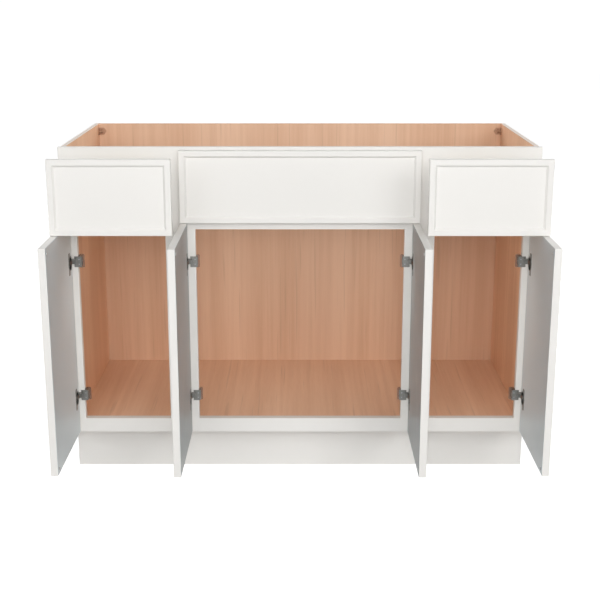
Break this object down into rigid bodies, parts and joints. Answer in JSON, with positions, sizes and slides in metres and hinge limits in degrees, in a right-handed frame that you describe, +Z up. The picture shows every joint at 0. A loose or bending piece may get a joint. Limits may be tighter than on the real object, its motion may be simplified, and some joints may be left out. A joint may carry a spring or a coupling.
{
  "type": "sink base cabinet",
  "caption": "Framed base cabinet with an open top for a sink, swinging doors on concealed hinges, side drawers on slides and a fixed false front.",
  "frame": {"origin": "on the floor at the wall: the rear face of the back panel at its lower edge, halfway along the cabinet", "axes": "+X to the right as seen from the front, +Y back to the wall, +Z up"},
  "size_m": [1.2192, 0.849, 0.8763],
  "materials": {
    "white_paint": "satin white paint on maple rails and MDF fronts",
    "side_board": "plywood, white outside and maple veneer inside",
    "maple_veneer_ply": "clear-coated maple veneer plywood",
    "drawer_box_wood": "clear-coated solid birch and plywood",
    "hinge_steel": "nickel-plated pressed steel",
    "zinc_steel": "zinc-plated rolled steel",
    "brown_plastic": "moulded brown nylon",
    "clear_bumper": "clear soft bumper"
  },
  "bodies": {
    "cabinet": {"side_panel_left": "side_board", "side_panel_right": "side_board", "back_panel": "maple_veneer_ply", "floor_panel": "maple_veneer_ply", "floor_support": "maple_veneer_ply", "toe_kick_board": "white_paint", "frame_stile_left": "white_paint", "frame_stile_right": "white_paint", "frame_mullion_left": "white_paint", "frame_mullion_right": "white_paint", "frame_top_rail": "white_paint", "frame_bottom_rail": "white_paint", "frame_mid_rail_left": "white_paint", "frame_mid_rail_right": "white_paint", "frame_mid_rail_centre": "white_paint", "false_front": "white_paint", "false_front_clips": "zinc_steel", "corner_brackets": "brown_plastic", "hinge_arms_outer_left": "hinge_steel", "hinge_arms_inner_left": "hinge_steel", "hinge_arms_inner_right": "hinge_steel", "hinge_arms_outer_right": "hinge_steel", "slide_cabinet_members_left": "zinc_steel", "slide_cabinet_members_right": "zinc_steel", "slide_rear_brackets_left": "zinc_steel", "slide_rear_brackets_right": "zinc_steel"},
    "door_outer_left": {"door_outer_left": "white_paint", "door_bumpers_outer_left": "clear_bumper", "hinge_cups_outer_left": "hinge_steel"},
    "hinge_links_outer_left": {"hinge_links_outer_left": "hinge_steel"},
    "door_inner_left": {"door_inner_left": "white_paint", "door_bumpers_inner_left": "clear_bumper", "hinge_cups_inner_left": "hinge_steel"},
    "hinge_links_inner_left": {"hinge_links_inner_left": "hinge_steel"},
    "door_inner_right": {"door_inner_right": "white_paint", "door_bumpers_inner_right": "clear_bumper", "hinge_cups_inner_right": "hinge_steel"},
    "hinge_links_inner_right": {"hinge_links_inner_right": "hinge_steel"},
    "door_outer_right": {"door_outer_right": "white_paint", "door_bumpers_outer_right": "clear_bumper", "hinge_cups_outer_right": "hinge_steel"},
    "hinge_links_outer_right": {"hinge_links_outer_right": "hinge_steel"},
    "drawer_left": {"drawer_front_left": "white_paint", "drawer_bumpers_left": "clear_bumper", "drawer_box_sides_left": "drawer_box_wood", "drawer_box_front_left": "drawer_box_wood", "drawer_box_back_left": "drawer_box_wood", "drawer_bottom_left": "drawer_box_wood", "slide_drawer_members_left": "zinc_steel"},
    "slide_middle_left": {"slide_middle_members_left": "zinc_steel"},
    "drawer_right": {"drawer_front_right": "white_paint", "drawer_bumpers_right": "clear_bumper", "drawer_box_sides_right": "drawer_box_wood", "drawer_box_front_right": "drawer_box_wood", "drawer_box_back_right": "drawer_box_wood", "drawer_bottom_right": "drawer_box_wood", "slide_drawer_members_right": "zinc_steel"},
    "slide_middle_right": {"slide_middle_members_right": "zinc_steel"}
  },
  "joints": [
    {"name": "door_outer_left_swing", "type": "hinge", "parent": "cabinet", "child": "door_outer_left", "pos_m": [-0.59925, -0.5498, 0.4024], "axis": [0, 0, -1], "range_deg": [-90, 15]},
    {"name": "hinge_links_outer_left_turn", "type": "hinge", "parent": "cabinet", "child": "hinge_links_outer_left", "pos_m": [-0.59925, -0.5498, 0.4024], "axis": [0, 0, -1], "range_deg": [-49, 8.5]},
    {"name": "door_inner_left_swing", "type": "hinge", "parent": "cabinet", "child": "door_inner_left", "pos_m": [-0.3008, -0.5498, 0.4024], "axis": [0, 0, -1], "range_deg": [-90, 15]},
    {"name": "hinge_links_inner_left_turn", "type": "hinge", "parent": "cabinet", "child": "hinge_links_inner_left", "pos_m": [-0.3008, -0.5498, 0.4024], "axis": [0, 0, -1], "range_deg": [-49, 8.5]},
    {"name": "door_inner_right_swing", "type": "hinge", "parent": "cabinet", "child": "door_inner_right", "pos_m": [0.3008, -0.5498, 0.4024], "axis": [0, 0, 1], "range_deg": [-90, 15]},
    {"name": "hinge_links_inner_right_turn", "type": "hinge", "parent": "cabinet", "child": "hinge_links_inner_right", "pos_m": [0.3008, -0.5498, 0.4024], "axis": [0, 0, 1], "range_deg": [-49, 8.5]},
    {"name": "door_outer_right_swing", "type": "hinge", "parent": "cabinet", "child": "door_outer_right", "pos_m": [0.59925, -0.5498, 0.4024], "axis": [0, 0, 1], "range_deg": [-90, 15]},
    {"name": "hinge_links_outer_right_turn", "type": "hinge", "parent": "cabinet", "child": "hinge_links_outer_right", "pos_m": [0.59925, -0.5498, 0.4024], "axis": [0, 0, 1], "range_deg": [-49, 8.5]},
    {"name": "drawer_left_slide", "type": "slide", "parent": "cabinet", "child": "drawer_left", "axis": [0, -1, 0], "range_m": [-0.154, 0.296]},
    {"name": "slide_middle_left_travel", "type": "slide", "parent": "cabinet", "child": "slide_middle_left", "axis": [0, -1, 0], "range_m": [-0.078, 0.149]},
    {"name": "drawer_right_slide", "type": "slide", "parent": "cabinet", "child": "drawer_right", "axis": [0, -1, 0], "range_m": [-0.154, 0.296]},
    {"name": "slide_middle_right_travel", "type": "slide", "parent": "cabinet", "child": "slide_middle_right", "axis": [0, -1, 0], "range_m": [-0.078, 0.149]}
  ],
  "couplings": [
    {"joint": "hinge_links_outer_left_turn", "follows": "door_outer_left_swing", "ratio": 0.54},
    {"joint": "hinge_links_inner_left_turn", "follows": "door_inner_left_swing", "ratio": 0.54},
    {"joint": "hinge_links_inner_right_turn", "follows": "door_inner_right_swing", "ratio": 0.54},
    {"joint": "hinge_links_outer_right_turn", "follows": "door_outer_right_swing", "ratio": 0.54},
    {"joint": "slide_middle_left_travel", "follows": "drawer_left_slide", "ratio": 0.5},
    {"joint": "slide_middle_right_travel", "follows": "drawer_right_slide", "ratio": 0.5}
  ]
}
